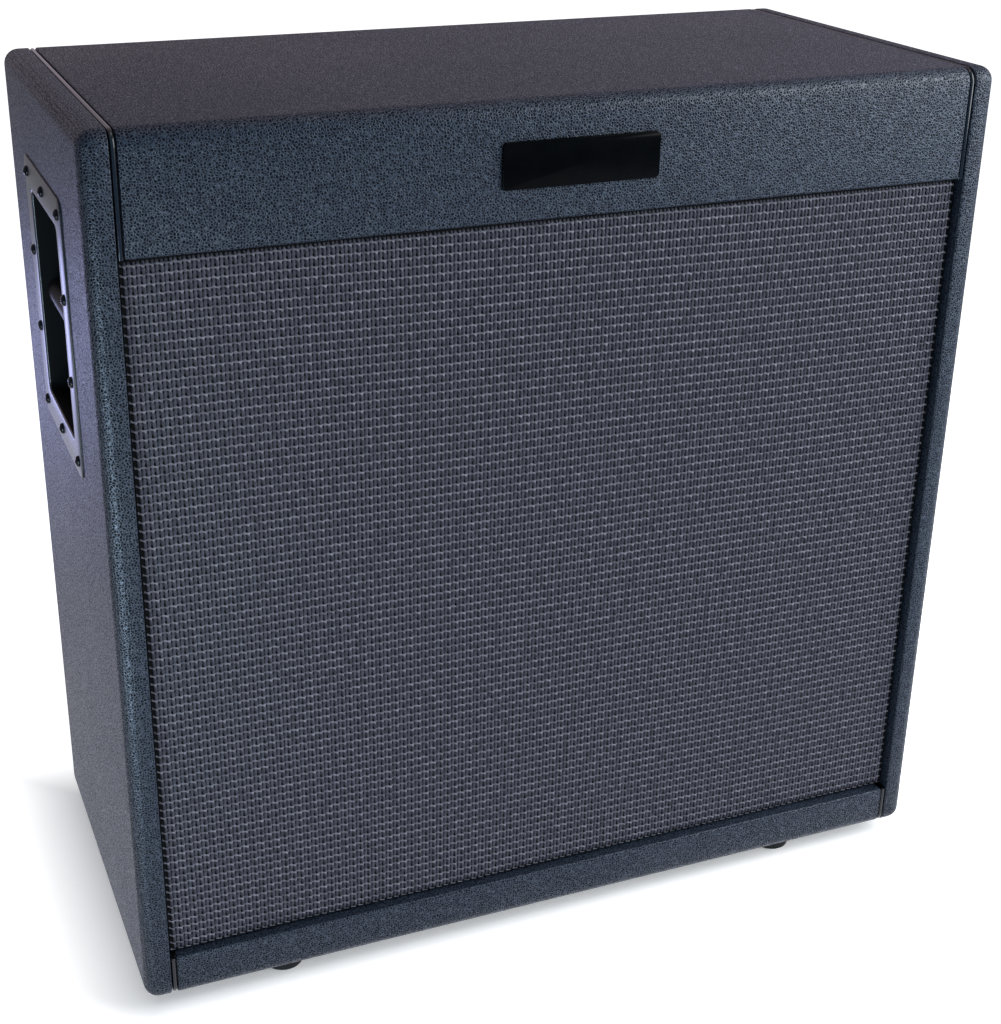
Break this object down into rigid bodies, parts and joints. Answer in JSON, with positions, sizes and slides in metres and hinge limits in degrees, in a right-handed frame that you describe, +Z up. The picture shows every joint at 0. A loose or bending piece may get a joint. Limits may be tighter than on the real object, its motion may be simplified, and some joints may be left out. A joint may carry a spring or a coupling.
{
  "type": "guitar speaker cabinet",
  "caption": "Closed-back guitar speaker cabinet: vinyl-covered plywood box with woven grille, recessed bar handles, rubber feet and a rear jack cup.",
  "frame": {"origin": "centre of the footprint, on the floor under the feet", "axes": "+X to the right seen from the front, +Y from the grille to the back panel, +Z up"},
  "size_m": [0.7796, 0.3734, 0.769],
  "materials": {
    "vinyl": "black pebble-grain vinyl, satin",
    "plywood": "birch plywood, matt",
    "grille_cloth": "open woven dark grey cloth",
    "piping": "gloss black",
    "badge": "gloss black",
    "handle_metal": "satin black paint",
    "screw_metal": "satin black",
    "foot_rubber": "black rubber",
    "cup_plastic": "black moulded plastic",
    "lever_plastic": "black moulded plastic",
    "nut_steel": "bright steel",
    "basket_metal": "grey paint",
    "magnet_iron": "dark ferrite and steel",
    "cone_paper": "dark paper pulp",
    "surround_fabric": "doped cloth"
  },
  "bodies": {
    "cabinet": {"top_covering": "vinyl", "bottom_covering": "vinyl", "back_covering": "vinyl", "left_covering": "vinyl", "right_covering": "vinyl", "top_panel": "plywood", "bottom_panel": "plywood", "valance_board": "plywood", "bottom_rail": "plywood", "baffle_board": "plywood", "grille_frame": "plywood", "back_panel": "plywood", "back_battens": "plywood", "centre_brace": "plywood", "left_side_panel": "plywood", "right_side_panel": "plywood", "grille_cloth": "grille_cloth", "left_top_piping": "piping", "left_bottom_piping": "piping", "right_top_piping": "piping", "right_bottom_piping": "piping", "badge_plate": "badge", "left_handle_dish": "handle_metal", "left_handle_bar": "handle_metal", "right_handle_dish": "handle_metal", "right_handle_bar": "handle_metal", "left_handle_screws": "screw_metal", "right_handle_screws": "screw_metal", "back_panel_screws": "screw_metal", "foot_screws": "screw_metal", "jack_cup_screws": "screw_metal", "rubber_feet": "foot_rubber", "jack_cup": "cup_plastic", "left_jack_socket": "cup_plastic", "right_jack_socket": "cup_plastic", "selector_switch_body": "cup_plastic", "jack_nuts": "nut_steel", "speaker_bolts": "nut_steel", "speaker_1_basket": "basket_metal", "speaker_2_basket": "basket_metal", "speaker_3_basket": "basket_metal", "speaker_4_basket": "basket_metal", "speaker_1_magnet": "magnet_iron", "speaker_2_magnet": "magnet_iron", "speaker_3_magnet": "magnet_iron", "speaker_4_magnet": "magnet_iron", "speaker_1_surround": "surround_fabric", "speaker_1_spider": "surround_fabric", "speaker_2_surround": "surround_fabric", "speaker_2_spider": "surround_fabric", "speaker_3_surround": "surround_fabric", "speaker_3_spider": "surround_fabric", "speaker_4_surround": "surround_fabric", "speaker_4_spider": "surround_fabric"},
    "speaker_1_moving_cone": {"speaker_1_cone": "cone_paper"},
    "speaker_2_moving_cone": {"speaker_2_cone": "cone_paper"},
    "speaker_3_moving_cone": {"speaker_3_cone": "cone_paper"},
    "speaker_4_moving_cone": {"speaker_4_cone": "cone_paper"},
    "selector_lever": {"selector_switch_lever": "lever_plastic"}
  },
  "joints": [
    {"name": "speaker_1_excursion", "type": "slide", "parent": "cabinet", "child": "speaker_1_moving_cone", "axis": [0, -1, 0], "range_m": [-0.003, 0.003], "stiffness_N_per_m": 8000, "deforming": ["speaker_1_surround", "speaker_1_spider"]},
    {"name": "speaker_2_excursion", "type": "slide", "parent": "cabinet", "child": "speaker_2_moving_cone", "axis": [0, -1, 0], "range_m": [-0.003, 0.003], "stiffness_N_per_m": 8000, "deforming": ["speaker_2_surround", "speaker_2_spider"]},
    {"name": "speaker_3_excursion", "type": "slide", "parent": "cabinet", "child": "speaker_3_moving_cone", "axis": [0, -1, 0], "range_m": [-0.003, 0.003], "stiffness_N_per_m": 8000, "deforming": ["speaker_3_surround", "speaker_3_spider"]},
    {"name": "speaker_4_excursion", "type": "slide", "parent": "cabinet", "child": "speaker_4_moving_cone", "axis": [0, -1, 0], "range_m": [-0.003, 0.003], "stiffness_N_per_m": 8000, "deforming": ["speaker_4_surround", "speaker_4_spider"]},
    {"name": "selector_slide", "type": "slide", "parent": "cabinet", "child": "selector_lever", "axis": [1, 0, 0], "range_m": [0, 0.006]}
  ]
}
